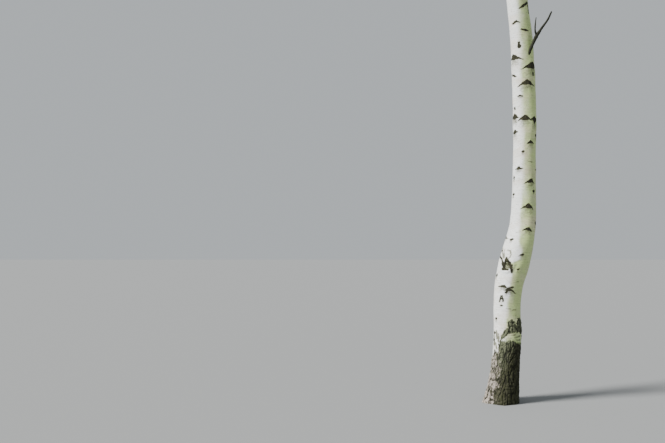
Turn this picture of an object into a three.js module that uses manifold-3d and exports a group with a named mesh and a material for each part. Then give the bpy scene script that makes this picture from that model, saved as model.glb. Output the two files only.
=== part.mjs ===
// A young silver birch rooted in level ground, in millimetres, +Z up.
// The origin is the middle of the flat cut at the foot of the trunk, and -Y is the side seen in the photograph.
// The trunk runs up through the crown as one leader. Each bough is one tapering limb, and each mass of foliage
// is one stem with twigs and leaves that carries on from its bough, 0.3 mm clear of it. A leaf here stands for
// a spray of real ones.
import * as THREE from "three";
import { mergeVertices } from "three/addons/utils/BufferGeometryUtils.js";
import Module from "manifold-3d";

const wasm = await Module();
wasm.setup();

// Whole tree
const TREE_HEIGHT = 12000;
const CROWN_FOOT = 3900;
const CROWN_RADIUS = 1750;
const GAP = 0.3;
const SAME_POINT = 0.001;

// Trunk: height, sideways place, depth and radius, through the sweep at chest height up to the leader's end
const TRUNK = [
  { z: 0, x: 0, y: 0, r: 112 },
  { z: 130, x: 17, y: 0, r: 106 },
  { z: 300, x: 36, y: 2, r: 101 },
  { z: 500, x: 51, y: 4, r: 100 },
  { z: 700, x: 51, y: 8, r: 98 },
  { z: 850, x: 66, y: 14, r: 104 },
  { z: 1055, x: 120, y: 26, r: 114 },
  { z: 1280, x: 176, y: 36, r: 98 },
  { z: 1400, x: 191, y: 40, r: 92 },
  { z: 1850, x: 208, y: 46, r: 85 },
  { z: 2300, x: 210, y: 44, r: 84 },
  { z: 2700, x: 195, y: 34, r: 83 },
  { z: 3050, x: 161, y: 24, r: 79 },
  { z: 4000, x: 96, y: 0, r: 70 },
  { z: 5600, x: 36, y: -30, r: 57 },
  { z: 7600, x: 24, y: -34, r: 41 },
  { z: 9600, x: 62, y: -6, r: 24 },
  { z: 11150, x: 74, y: 8, r: 9 },
];
const TRUNK_SIDES = 17;
const LOWER_STEP = 115;
const UPPER_STEP = 420;
const FINE_UP_TO = 3150;

// Root flare: the way each root sets off, in degrees from +X, and how far it spreads the foot
const FLARE_HEIGHT = 300;
const FLARE_SPREAD = 26;
const ROOTS = [
  { turn: 188, reach: 34 },
  { turn: 262, reach: 16 },
  { turn: 330, reach: 14 },
  { turn: 52, reach: 20 },
  { turn: 122, reach: 24 },
];

// Boughs
const BOUGHS = 24;
const LOWEST_BOUGH = 4250;
const HIGHEST_BOUGH = 10750;
const CROWDING = 0.94;
const SPIRAL = 137.508;
const SPIRAL_WOBBLE = 13;
const BOUGH_SIDES = 5;
const BOUGH_STEPS = 4;
const BOUGH_TO_TRUNK = 0.27;
const THINNEST_BOUGH = 5.5;
const BARE_SHARE = 0.28;
const STEM_END_RADIUS = 2.6;

// The dead limb: it leaves the trunk's front and points up to the right
const SNAG_PATH = [
  { x: 206, y: -4, z: 2545 },
  { x: 222, y: -30, z: 2604 },
  { x: 250, y: -54, z: 2676 },
  { x: 276, y: -78, z: 2738 },
  { x: 308, y: -110, z: 2790 },
  { x: 340, y: -146, z: 2838 },
  { x: 362, y: -176, z: 2893 },
];
const SNAG_RADIUS = 14;
const SNAG_END_RADIUS = 6;

// Foliage: sizes for the lowest masses, which shrink towards the top
const SMALLEST = 0.52;
const STEM_STEPS = 3;
const TWIGS = 7;
const TWIG_LENGTH = 500;
const TWIG_ANGLE = 58;
const TWIG_DROOP = 0.34;
const TWIG_RADIUS = 5;
const TWIG_END_RADIUS = 3.2;
const ELBOW = 0.48;
const LEAF_LENGTH = 420;
const LEAF_WIDTH = 280;
const LEAF_THICKNESS = 10;
const LEAF_TURN = 62;
const LEAF_DROOP = 0.55;
const LEAVES_ON_TWIG = [0.34, 0.7, 0.985];
const LIMB_CLEARANCE = 14;
const NEIGHBOUR_CLEARANCE = 18;
const SUNK = 12;
const LOWEST_LEAF = 3650;
const OUTERMOST = 110;

const UP = new THREE.Vector3(0, 0, 1);
const radians = THREE.MathUtils.degToRad;
const lerp = THREE.MathUtils.lerp;

// The same row of numbers from 0 to 1 for the same seed.
function drawsFrom(seed) {
  let state = (seed * 2654435761) >>> 0;
  return () => {
    state = (Math.imul(state, 1664525) + 1013904223) >>> 0;
    return state / 4294967296;
  };
}

// The trunk's centre and radius at a height, on a smooth curve through its stations.
function trunkAt(z) {
  const last = TRUNK.length - 1;
  let k = TRUNK.findIndex((station) => station.z > z) - 1;
  if (k < 0) k = z <= 0 ? 0 : last - 1;
  const a = TRUNK[k];
  const b = TRUNK[k + 1];
  const span = b.z - a.z;
  const t = THREE.MathUtils.clamp((z - a.z) / span, 0, 1);
  const value = (key) => {
    const slope = (i) => {
      const from = TRUNK[Math.max(i - 1, 0)];
      const to = TRUNK[Math.min(i + 1, last)];
      return (to[key] - from[key]) / (to.z - from.z);
    };
    return (
      a[key] * (2 * t ** 3 - 3 * t ** 2 + 1) +
      slope(k) * span * (t ** 3 - 2 * t ** 2 + t) +
      b[key] * (3 * t ** 2 - 2 * t ** 3) +
      slope(k + 1) * span * (t ** 3 - t ** 2)
    );
  };
  return { x: value("x"), y: value("y"), r: value("r") };
}

// How far the roots push the foot of the trunk out at a height, on the side that faces a way in degrees.
function flareAt(z, turn) {
  const fade = Math.max(0, 1 - z / FLARE_HEIGHT) ** 2;
  let out = 0;
  for (const root of ROOTS) {
    const off = ((turn - root.turn + 540) % 360) - 180;
    out += root.reach * Math.exp(-((off / FLARE_SPREAD) ** 2));
  }
  return out * fade;
}

// How far the crown reaches from the leader at a height.
function crownRadius(z) {
  const s = (z - CROWN_FOOT) / (TREE_HEIGHT - CROWN_FOOT);
  if (s <= 0 || s >= 1) return 0;
  return (CROWN_RADIUS * s ** 0.45 * (1 - s) ** 1.05) / 0.4;
}

// Twigs and leaves get smaller from the lowest masses to the leader's.
function foliageScale(z) {
  const share = (z - LOWEST_BOUGH) / (TREE_HEIGHT - LOWEST_BOUGH);
  return lerp(1, SMALLEST, share);
}

function solidFrom(positions, triangles) {
  const geometry = new THREE.BufferGeometry();
  geometry.setAttribute(
    "position",
    new THREE.Float32BufferAttribute(positions, 3),
  );
  geometry.setIndex(triangles);
  const merged = mergeVertices(geometry, SAME_POINT);
  return new wasm.Manifold(
    new wasm.Mesh({
      numProp: 3,
      vertProperties: merged.attributes.position.array,
      triVerts: new Uint32Array(merged.index.array),
    }),
  );
}

// A closed solid through rings of points, each ring anticlockwise as seen from the next one.
function loft(rings) {
  const sides = rings[0].length;
  const positions = rings.flat().flatMap((p) => [p.x, p.y, p.z]);
  const triangles = [];
  for (let k = 0; k < rings.length - 1; k++) {
    for (let s = 0; s < sides; s++) {
      const a = k * sides + s;
      const b = k * sides + ((s + 1) % sides);
      triangles.push(a, b, b + sides, a, b + sides, a + sides);
    }
  }
  const top = (rings.length - 1) * sides;
  for (let s = 1; s < sides - 1; s++) {
    triangles.push(0, s + 1, s, top, top + s, top + s + 1);
  }
  return solidFrom(positions, triangles);
}

function trunkSolid(extra = 0) {
  const heights = [];
  for (let z = 0; z < FINE_UP_TO; z += LOWER_STEP) heights.push(z);
  const end = TRUNK.at(-1).z;
  const steps = Math.round((end - FINE_UP_TO) / UPPER_STEP);
  for (let k = 0; k <= steps; k++)
    heights.push(lerp(FINE_UP_TO, end, k / steps));
  const rings = heights.map((z) => {
    const centre = trunkAt(z);
    const ring = [];
    for (let s = 0; s < TRUNK_SIDES; s++) {
      const turn = (360 * s) / TRUNK_SIDES;
      const r = centre.r + flareAt(z, turn) + extra;
      const a = radians(turn);
      ring.push(
        new THREE.Vector3(
          centre.x + r * Math.cos(a),
          centre.y + r * Math.sin(a),
          z,
        ),
      );
    }
    return ring;
  });
  return loft(rings);
}

// A tapering limb along points, with flat ends square to it or to the ways given.
function limbSolid(points, radii, sides, ways = waysAlong(points)) {
  const side = sideways(ways[0]);
  const rings = points.map((p, k) => {
    const along = ways[k];
    side.addScaledVector(along, -side.dot(along)).normalize();
    const across = along.clone().cross(side);
    const ring = [];
    for (let s = 0; s < sides; s++) {
      const a = (2 * Math.PI * s) / sides;
      ring.push(
        p
          .clone()
          .addScaledVector(side, radii[k] * Math.cos(a))
          .addScaledVector(across, radii[k] * Math.sin(a)),
      );
    }
    return ring;
  });
  return loft(rings);
}

function waysAlong(points) {
  return points.map((_, k) => {
    const next = points[Math.min(k + 1, points.length - 1)];
    return next.clone().sub(points[Math.max(k - 1, 0)]).normalize();
  });
}

function sideways(along) {
  const other = Math.abs(along.z) > 0.9 ? new THREE.Vector3(1, 0, 0) : UP;
  return other.clone().cross(along).normalize();
}

// Everything that sets one limb: where it leaves the leader, its bearing, its rise and its reach.
function limbPlan(i) {
  const share = i / (BOUGHS - 1);
  const foot = lerp(LOWEST_BOUGH, HIGHEST_BOUGH, share ** CROWDING);
  const wobble = Math.sin(2.3 * i);
  const turn = SPIRAL * i + SPIRAL_WOBBLE * Math.sin(3.7 * i);
  const rise = lerp(760, 640, share) * (1 + 0.12 * Math.sin(5.1 * i));
  const reach = crownRadius(foot + rise) * (0.86 + 0.06 * wobble);
  const arch = lerp(2.15, 1.35, share);
  const sway = 0.07 * Math.sin(4.3 * i + 1);
  const radius = Math.max(BOUGH_TO_TRUNK * trunkAt(foot).r, THINNEST_BOUGH);
  return { foot, turn, rise, reach, arch, sway, radius };
}

// A point of a limb's path: u is 0 on the leader's axis and 1 at the limb's far end, in the foliage.
function limbPoint(plan, u) {
  const a = radians(plan.turn);
  const centre = trunkAt(plan.foot);
  const out = plan.reach * u;
  const aside = plan.reach * plan.sway * Math.sin(Math.PI * u);
  return new THREE.Vector3(
    centre.x + out * Math.cos(a) - aside * Math.sin(a),
    centre.y + out * Math.sin(a) + aside * Math.cos(a),
    plan.foot + plan.rise * (plan.arch * u - (plan.arch - 1) * u * u),
  );
}

function limbWay(plan, u) {
  return limbPoint(plan, u + 0.01).sub(limbPoint(plan, u - 0.01)).normalize();
}

function limbRadius(plan, u) {
  return lerp(plan.radius, STEM_END_RADIUS, u ** 0.8);
}

function steps(from, to, count) {
  return Array.from({ length: count + 1 }, (_, k) =>
    lerp(from, to, k / count),
  );
}

// The stem of each mass: the limb's path past the end of its bare bough, and one upright on the leader's end.
function stemOf(plan) {
  const at = steps(BARE_SHARE, 1, STEM_STEPS);
  const points = at.map((u) => limbPoint(plan, u));
  const ways = at.map((u) => limbWay(plan, u));
  const radii = at.map((u) => limbRadius(plan, u));
  points[0].addScaledVector(ways[0], GAP);
  return { points, ways, radii };
}

function leaderStem() {
  const foot = TRUNK.at(-1);
  const top = TREE_HEIGHT - foliageScale(foot.z) * LEAF_LENGTH - 2;
  const points = steps(foot.z + GAP, top, STEM_STEPS).map(
    (z) => new THREE.Vector3(foot.x, foot.y, z),
  );
  const radii = steps(foot.r * 0.8, STEM_END_RADIUS, STEM_STEPS);
  return { points, ways: waysAlong(points), radii };
}

function distanceToPath(point, path) {
  const segment = new THREE.Line3();
  const nearest = new THREE.Vector3();
  let least = Infinity;
  for (let k = 0; k < path.length - 1; k++) {
    segment.set(path[k], path[k + 1]);
    segment.closestPointToPoint(point, true, nearest);
    least = Math.min(least, nearest.distanceTo(point));
  }
  return least;
}

// The space of each mass is what lies nearer to its own stem than to any other, inside the crown's outline
// and clear of the trunk and the boughs.
function insideSpace(point, own, stems, boughs) {
  if (point.z > TREE_HEIGHT || point.z < LOWEST_LEAF) return false;
  const centre = trunkAt(point.z);
  const fromLeader = Math.hypot(point.x - centre.x, point.y - centre.y);
  const besideTrunk = point.z < TRUNK.at(-1).z + LIMB_CLEARANCE;
  if (besideTrunk && fromLeader < centre.r + LIMB_CLEARANCE) return false;
  const reach = crownRadius(Math.max(point.z, LOWEST_BOUGH));
  if (fromLeader > reach + OUTERMOST) return false;
  const mine = distanceToPath(point, stems[own].points);
  const crowded = stems.some(
    (stem, k) =>
      k !== own &&
      distanceToPath(point, stem.points) < mine + NEIGHBOUR_CLEARANCE,
  );
  if (crowded) return false;
  return boughs.every(
    (bough) =>
      distanceToPath(point, bough.points) > bough.radii[0] + LIMB_CLEARANCE,
  );
}

// A leaf with a pointed oval outline, thickest at its middle, as eight faces. Its root is on the twig's axis.
function leafCorners(root, along, face, scale) {
  const side = along.clone().cross(face).normalize();
  const normal = side.clone().cross(along).normalize();
  const length = scale * LEAF_LENGTH;
  const middle = root.clone().addScaledVector(along, 0.45 * length);
  const corner = (way, distance) =>
    middle.clone().addScaledVector(way, distance);
  return [
    root,
    root.clone().addScaledVector(along, length),
    corner(side, (scale * LEAF_WIDTH) / 2),
    corner(side, (-scale * LEAF_WIDTH) / 2),
    corner(normal, LEAF_THICKNESS / 2),
    corner(normal, -LEAF_THICKNESS / 2),
  ];
}

function leafSolid(corners) {
  const [root, tip, right, left, above, below] = [0, 1, 2, 3, 4, 5];
  const triangles = [];
  const pairs = [
    [right, above],
    [above, left],
    [left, below],
    [below, right],
  ];
  for (const [a, b] of pairs) triangles.push(root, a, b, tip, b, a);
  return solidFrom(
    corners.flatMap((p) => [p.x, p.y, p.z]),
    triangles,
  );
}

// A way that leaves another at an angle, rolled about it.
function branching(along, angle, roll) {
  const side = sideways(along).applyAxisAngle(along, roll);
  return along
    .clone()
    .multiplyScalar(Math.cos(radians(angle)))
    .addScaledVector(side, Math.sin(radians(angle)));
}

function drooping(way, share) {
  return way.clone().addScaledVector(UP, -share).normalize();
}

// One mass of foliage: its stem, the twigs that branch from it and the leaves on them, fused.
function massSolid(own, stems, boughs) {
  const draw = drawsFrom(own + 1);
  const { points, ways, radii } = stems[own];
  const stem = new THREE.CatmullRomCurve3(points);
  const scale = foliageScale(points[0].z);
  const free = (...spots) =>
    spots.every((p) => insideSpace(p, own, stems, boughs));
  const solids = [limbSolid(points, radii, 3, ways)];
  const addLeaf = (root, along) => {
    const bearing = 2 * Math.PI * draw();
    const face = new THREE.Vector3(
      Math.cos(bearing),
      Math.sin(bearing),
      0.5 * draw(),
    );
    const corners = leafCorners(root, along, face, scale);
    if (free(...corners.slice(1))) solids.push(leafSolid(corners));
  };
  for (let k = 0; k < TWIGS; k++) {
    const at = lerp(0.08, 0.95, k / (TWIGS - 1));
    const start = stem.getPointAt(at);
    const roll = radians(SPIRAL * k + 40 * draw());
    const first = branching(stem.getTangentAt(at), TWIG_ANGLE, roll);
    const second = drooping(first, TWIG_DROOP);
    const length = scale * TWIG_LENGTH * lerp(0.8, 1.1, draw());
    const elbow = start.clone().addScaledVector(first, ELBOW * length);
    const end = elbow.clone().addScaledVector(second, (1 - ELBOW) * length);
    if (!free(start.clone().lerp(elbow, 0.5), elbow, end)) continue;
    const middle = lerp(TWIG_RADIUS, TWIG_END_RADIUS, ELBOW);
    const twigRadii = [TWIG_RADIUS, middle, TWIG_END_RADIUS];
    solids.push(limbSolid([start, elbow, end], twigRadii, 3));
    LEAVES_ON_TWIG.forEach((along, n) => {
      const root =
        along < ELBOW
          ? start.clone().lerp(elbow, along / ELBOW)
          : elbow.clone().lerp(end, (along - ELBOW) / (1 - ELBOW));
      const atEnd = n === LEAVES_ON_TWIG.length - 1;
      const turn = atEnd ? 0 : n % 2 ? LEAF_TURN : -LEAF_TURN;
      const way = second.clone().applyAxisAngle(UP, radians(turn));
      addLeaf(root, drooping(way, LEAF_DROOP * draw()));
    });
  }
  const tipWay = stem.getTangentAt(1);
  addLeaf(points.at(-1).clone().addScaledVector(tipWay, -SUNK), tipWay);
  return largestPiece(wasm.Manifold.union(solids));
}

// The largest closed body of a solid, with its points as a mesh holds them: sealed hollows and loose scraps go.
function largestPiece(solid) {
  const made = solid.getMesh();
  return solidFrom(Array.from(made.vertProperties), Array.from(made.triVerts))
    .decompose()
    .reduce((best, piece) => (piece.volume() > best.volume() ? piece : best));
}

function meshOf(name, solid, material) {
  const made = solid.getMesh();
  const geometry = new THREE.BufferGeometry();
  geometry.setAttribute(
    "position",
    new THREE.BufferAttribute(made.vertProperties, made.numProp),
  );
  geometry.setIndex(new THREE.BufferAttribute(made.triVerts, 1));
  geometry.computeVertexNormals();
  const mesh = new THREE.Mesh(geometry, material);
  mesh.name = name;
  return mesh;
}

const whiteBark = new THREE.MeshStandardMaterial({
  color: 0xd9d8cd,
  roughness: 0.75,
});
const limbBark = new THREE.MeshStandardMaterial({
  color: 0x8f8578,
  roughness: 0.8,
});
const deadWood = new THREE.MeshStandardMaterial({
  color: 0x3f3a33,
  roughness: 0.9,
});
const foliage = new THREE.MeshStandardMaterial({
  color: 0x86a83a,
  roughness: 0.6,
});

const numbered = (name, i) => `${name}_${String(i + 1).padStart(2, "0")}`;

const tree = new THREE.Group();
tree.add(meshOf("trunk", trunkSolid(), whiteBark));

const aroundTrunk = trunkSolid(GAP);
const plans = Array.from({ length: BOUGHS }, (_, i) => limbPlan(i));
const boughs = plans.map((plan) => {
  const at = steps(0, BARE_SHARE, BOUGH_STEPS);
  return {
    points: at.map((u) => limbPoint(plan, u)),
    ways: at.map((u) => limbWay(plan, u)),
    radii: at.map((u) => limbRadius(plan, u)),
  };
});
plans.forEach((_, i) => {
  const { points, ways, radii } = boughs[i];
  const limb = limbSolid(points, radii, BOUGH_SIDES, ways);
  const cut = largestPiece(limb.subtract(aroundTrunk));
  tree.add(meshOf(numbered("bough", i), cut, limbBark));
});

const snagPoints = SNAG_PATH.map((p) => new THREE.Vector3(p.x, p.y, p.z));
const snagRadii = steps(SNAG_RADIUS, SNAG_END_RADIUS, SNAG_PATH.length - 1);
const snag = limbSolid(snagPoints, snagRadii, BOUGH_SIDES);
tree.add(
  meshOf("dead_limb", largestPiece(snag.subtract(aroundTrunk)), deadWood),
);

const stems = [...plans.map(stemOf), leaderStem()];
stems.forEach((_, i) => {
  const name = i < BOUGHS ? numbered("foliage", i) : "foliage_top";
  tree.add(meshOf(name, massSolid(i, stems, boughs), foliage));
});

export default tree;
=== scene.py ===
"""A young silver birch: scarred white bark, a rough dark foot and an airy crown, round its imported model."""

import math

import bpy
import numpy as np
from bpy.props import FloatProperty, FloatVectorProperty, IntProperty, PointerProperty
from bpy.types import Operator, Panel, PropertyGroup
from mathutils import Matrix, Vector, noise


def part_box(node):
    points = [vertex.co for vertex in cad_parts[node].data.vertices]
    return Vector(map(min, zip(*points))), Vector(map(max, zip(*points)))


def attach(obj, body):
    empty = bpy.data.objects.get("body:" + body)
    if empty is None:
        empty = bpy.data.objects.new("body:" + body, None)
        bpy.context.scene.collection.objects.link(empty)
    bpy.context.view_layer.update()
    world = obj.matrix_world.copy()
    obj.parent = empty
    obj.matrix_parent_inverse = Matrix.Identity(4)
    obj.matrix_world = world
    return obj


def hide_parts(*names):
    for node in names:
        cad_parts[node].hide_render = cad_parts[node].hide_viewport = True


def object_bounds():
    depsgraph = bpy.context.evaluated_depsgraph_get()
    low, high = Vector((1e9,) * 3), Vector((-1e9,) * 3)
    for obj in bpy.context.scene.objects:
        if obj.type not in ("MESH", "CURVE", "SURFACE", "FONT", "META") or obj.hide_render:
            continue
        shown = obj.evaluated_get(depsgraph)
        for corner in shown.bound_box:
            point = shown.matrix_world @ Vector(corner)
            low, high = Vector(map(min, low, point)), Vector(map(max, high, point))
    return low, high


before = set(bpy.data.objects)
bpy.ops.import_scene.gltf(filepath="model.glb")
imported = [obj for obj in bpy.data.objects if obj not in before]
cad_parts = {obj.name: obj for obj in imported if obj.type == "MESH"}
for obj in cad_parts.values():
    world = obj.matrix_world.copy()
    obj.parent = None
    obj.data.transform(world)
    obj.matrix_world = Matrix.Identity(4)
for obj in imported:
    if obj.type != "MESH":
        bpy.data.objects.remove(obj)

bl_info = {
    "name": "Young Silver Birch",
    "version": (1, 0, 0),
    "blender": (4, 5, 0),
    "location": "View3D > Sidebar > Birch",
    "description": "Builds the bark, boughs, twigs and leaves of a young silver birch round its packed model",
    "category": "Add Mesh",
}

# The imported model's box, before anything is added, and the heights that come from it
CAD_BOX = [[float(v) for v in corner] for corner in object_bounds()]
TREE_HEIGHT = CAD_BOX[1][2]
TRUNK_TOP = float(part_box("trunk")[1][2])
FOLIAGE_NODES = sorted(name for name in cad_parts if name.startswith("foliage_") and name[-1].isdigit())
BOUGHS = len(FOLIAGE_NODES)

# Tables of places are in millimetres and degrees. All other sizes are in metres and degrees.

# Stations up the trunk: height, sideways place, depth and radius
TRUNK = (
    (0, 0, 0, 112), (130, 17, 0, 106), (300, 36, 2, 101), (500, 51, 4, 100), (700, 51, 8, 98),
    (850, 66, 14, 104), (1055, 120, 26, 114), (1280, 176, 36, 98), (1400, 191, 40, 92), (1850, 208, 46, 85),
    (2300, 210, 44, 84), (2700, 195, 34, 83), (3050, 161, 24, 79), (4000, 96, 0, 70), (5600, 36, -30, 57),
    (7600, 24, -34, 41), (9600, 62, -6, 24), (11150, 74, 8, 9),
)
# The trunk's lengths of mesh: name, foot, top, height of one ring, and corners round it, in metres
TRUNK_LENGTHS = (
    ("trunk_foot", 0.0, 0.67, 0.0027, 240),
    ("trunk_stem", 0.67, 3.16, 0.0038, 150),
    ("trunk_middle", 3.16, 7.60, 0.012, 84),
    ("trunk_leader", 7.60, TRUNK_TOP, 0.016, 54),
)
FLARE_HEIGHT = 0.3
FLARE_SPREAD = 26
# Roots: the way each sets off, from +X, and how far it spreads the foot
ROOTS = ((188, 34), (262, 16), (330, 14), (52, 20), (122, 24))

# Crown and limbs, by the same rule as the part's solids. The stem of a mass is its limb past BARE_SHARE, and
# twigs start past INNER_SHARE. A leaf's distance to its own stem, times CROSSING, is less than to any other.
CROWN_FOOT = 3.9
CROWN_RADIUS = 1.75
CROWN_TOP = 12.0
LOWEST_BOUGH = 4.25
HIGHEST_BOUGH = 10.75
CROWDING = 0.94
SPIRAL = 137.508
SPIRAL_WOBBLE = 13
BOUGH_TO_TRUNK = 0.27
THINNEST_BOUGH = 0.0055
BARE_SHARE = 0.28
STEM_END_RADIUS = 0.0026
STEM_BELOW_TOP = 0.20
SMALLEST = 0.52
OUTERMOST = 0.11
LOWEST_LEAF = 3.65
LIMB_CLEARANCE = 0.014
CROSSING = 0.8
INNER_SHARE = 0.12
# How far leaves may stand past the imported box, and how far apart two stems are whose masses can't meet
BOX_MARGIN = 0.03
STEMS_APART = 2.6

# Limbs: points along each path, and sides of its tube
BOUGH_POINTS, BOUGH_SIDES = 64, 14
SNAG_POINTS, SNAG_SIDES = 60, 16
STUB_POINTS, STUB_SIDES = 24, 12
# A bough's collar: how much thicker it is, and over how many of the bough's radii that fades
COLLAR, COLLAR_LENGTH = 0.7, 1.6

# The dead limb on the trunk's front, and the stub of its fork, with their radii at either end
SNAG_PATH = (
    (206, -4, 2545), (222, -30, 2604), (250, -54, 2676), (276, -78, 2738), (308, -110, 2790),
    (340, -146, 2838), (362, -176, 2893),
)
SNAG_STUB = ((277, -79, 2735), (262, -92, 2772), (262, -98, 2822), (268, -100, 2872))
SNAG_RADII = (0.014, 0.006)
STUB_RADII = (0.0075, 0.0030)

# Twigs, and sprays, the fine twigs on them: pieces of each path, sides, and radii at either end
TWIG_SEGMENTS, TWIG_SIDES, TWIG_RADII = 7, 4, (0.0030, 0.0014)
SPRAY_SEGMENTS, SPRAY_SIDES, SPRAY_RADII = 4, 3, (0.0015, 0.0008)
# Shares of a limb or twig at which the first and the last one start, the spreads of their lengths and of
# their droops, and how much shorter the last one is
TWIG_STARTS, SPRAY_STARTS = (0.03, 0.985), (0.14, 1.0)
TWIG_LENGTHS, SPRAY_LENGTHS = (0.75, 1.15), (0.55, 1.15)
TWIG_DROOPS, SPRAY_DROOPS = (0.35, 0.8), (0.7, 1.5)
TWIG_FALL, SPRAY_FALL = 0.5, 0.25
# Angles to what carries them, with their spread. The last on a twig carries it on, at a share of that angle.
TWIG_ANGLE, TWIG_ANGLE_FALL, TWIG_ANGLE_SPREAD = 58, 14, 6
SPRAY_ANGLE, LAST_SPRAY = (44, 9), 0.15
LEAF_ANGLE, LAST_LEAF = (52, 12), 0.3
# How far sprays and leaves roll from the two sides of their twig, in radians, and how far twigs roll from
# their places in the spiral, in degrees
SPRAY_ROLL, LEAF_ROLL, TWIG_ROLL = 0.5, 0.7, 40
# How sharply twigs turn at their buds
KINK = 0.07
# Length and droop of the twig that ends a stem, and the share of a twig's usual droop on the leader's end
END_TWIG = (0.16, 0.5)
LEADER_DROOP = 0.35
STEM_POINTS = 15
LIMB_POINTS = 21
TIERS = 5
DOWN = np.array((0.0, 0.0, -1.0))

# A leaf, in lengths of its blade: the stalk, and half widths of the blade at places along it
STALK = 0.34
STALK_WIDTH = 0.016
BLADE_HALF = ((0.24, 0.09), (0.39, 0.30), (0.22, 0.64))
BLADE_MIDDLE = 0.42
BLADE_CUP = 0.22
BLADE_SIDES = len(BLADE_HALF)
LEAF_TRIANGLES = 2 * BLADE_SIDES + 3
# Leaves: the spread of their sizes, how much stalks and blades droop, how many stay, how many differ in
# colour from their spray, how many a twig has of its own, and at what share of it the first one stands
LEAF_SIZES = (0.72, 1.15)
STALK_DROOP, BLADE_DROOPS = 0.25, (0.3, 1.3)
LEAVES_KEPT = 0.93
STRAY_TINTS = 0.16
LEAVES_ON_TWIG = 6
FIRST_ON_TWIG, FIRST_ON_SPRAY = 0.45, 0.12
# Roughness and specular level of each leaf colour
LEAF_TINTS = {"lime": (0.50, 0.4), "yellow": (0.52, 0.4), "green": (0.46, 0.45), "dark": (0.44, 0.45)}

# The way the photograph looks at the trunk from, in degrees from +X. Bearings of marks on the bark are
# measured from it, with those to the right of the trunk's middle above 0. The bark shows this far round to
# either side, and up to this height.
FRONT = 255
SEEN_SIDE = 88
SEEN_TOP = 3.05
# The damp side's near edge, where painted shade also starts, as a height, a bearing, and how many degrees
# the change takes to either side; and the bearing and the same spread of its far edge, on the back
DAMP_AND_SHADE_EDGE = (
    (140, 5, 15), (240, 3, 15), (360, -6, 15), (620, -4, 11), (700, 6, 8), (800, 12, 6), (900, 6, 6),
    (980, 2, 6), (1030, -14, 6), (1060, 16, 7), (1130, 15, 7), (1200, 3, 7), (1300, -5, 8), (1400, -10, 8),
    (1580, -8, 11), (1840, -5, 12), (2030, -9, 12), (2490, -8, 12), (2720, -8, 13), (2950, -3, 14),
    (3300, -3, 20),
)
DAMP_AND_SHADE_FAR = 168
FAR_SPREAD = 28

# Branch scars on the side that the photograph shows. Each is an arch: the height of its peak, its bearing,
# how far its left and right wings reach, how far each drops, and half its depth.
SCARS = (
    (2622, -53, 48, 86, 44, 58, 23), (2555, 52, 92, 50, 62, 40, 27), (2418, 18, 78, 66, 54, 54, 19.5),
    (2303, -20, 23, 23, 9, 11, 7), (2170, -54, 62, 44, 40, 42, 24), (2150, 3, 62, 56, 46, 46, 20),
    (2140, 53, 30, 36, 14, 16, 29), (2043, -56, 36, 34, 18, 18, 18), (2010, 72, 20, 20, 4, 4, 12),
    (1960, 32, 36, 30, 32, 30, 14), (1881, -8, 13, 13, 2, 3, 9), (1760, -30, 34, 36, 22, 18, 12.5),
    (1689, -58, 16, 15, 3, 4, 12), (1670, 40, 64, 26, 42, 46, 17), (1582, 50, 12, 12, 2, 3, 10),
    (1560, -58, 18, 17, 2, 6, 10.5), (1481, 25, 66, 42, 44, 50, 18), (1342, 68, 16, 14, 1, 1, 11),
    (1302, 27, 44, 40, 26, 36, 12.5), (1217, -34, 17, 17, 6, 4, 8), (1106, 24, 32, 14, 18, 2, 8),
    (999, 20, 13, 13, 4, 2, 9), (955, -66, 18, 16, 2, 4, 14), (873, -19, 50, 42, 16, 28, 11),
    (864, 14, 17, 15, 3, 5, 8), (857, 0, 26, 66, 26, 50, 14), (727, -23, 15, 14, 4, 2, 5.5),
    (632, -51, 14, 14, 3, 1, 9), (529, -62, 18, 16, 2, 1, 13), (476, -65, 18, 16, 3, 1, 16),
)
# Other scars start at this height, and have full size where the trunk has this radius. They have these
# spreads of size, of wings and half depths at full size, and of drops, as shares of the wings. Small ones
# lie among them.
LOWEST_RING = 0.72
STEM_RADIUS = 0.085
SCAR_SIZES, SCAR_WINGS = (0.50, 1.45), (0.030, 0.062)
SCAR_HALVES, SCAR_DROPS = (0.008, 0.016), (0.35, 0.60)
SMALL_SCARS = (0.006, 0.014)
# Straight dark marks from one bearing and height to another, with half their width at each end
MARKS = (
    (3, 2957, 33, 2984, 4, 10), (33, 2984, 66, 3012, 10, 10), (68, 2990, 63, 2928, 7, 6),
    (-38, 2852, -19, 2861, 7, 10), (-19, 2861, -2, 2849, 10, 4), (5, 2799, 23, 2792, 5, 9),
    (23, 2792, 39, 2787, 9, 4), (-15, 2697, -14, 2670, 8, 14), (50, 2470, 52, 2452, 8, 6),
    (-71, 2468, -40, 2446, 8, 4), (-56, 2210, -54, 2201, 9, 8), (-1, 846, -6, 818, 8, 7),
    (-26, 792, -31, 750, 5, 6), (-21, 792, -16, 752, 5, 6), (-28, 770, -17, 770, 5, 5),
    (-88, 1090, -55, 1064, 11, 6), (-55, 1064, -46, 1041, 5, 10), (-46, 1041, -35, 1008, 10, 8),
    (-34, 1074, -33, 1046, 6, 10), (-34, 1046, -35, 990, 7, 10), (-30, 1068, -21, 1040, 7, 10),
    (-21, 1040, -10, 1012, 10, 13), (-10, 1012, 2, 962, 14, 5), (-34, 990, -16, 985, 9, 6),
    (-78, 1124, -70, 1128, 8, 6), (-34, 436, -31, 362, 5, 4), (-58, 384, -58, 316, 6, 4),
)
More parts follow.
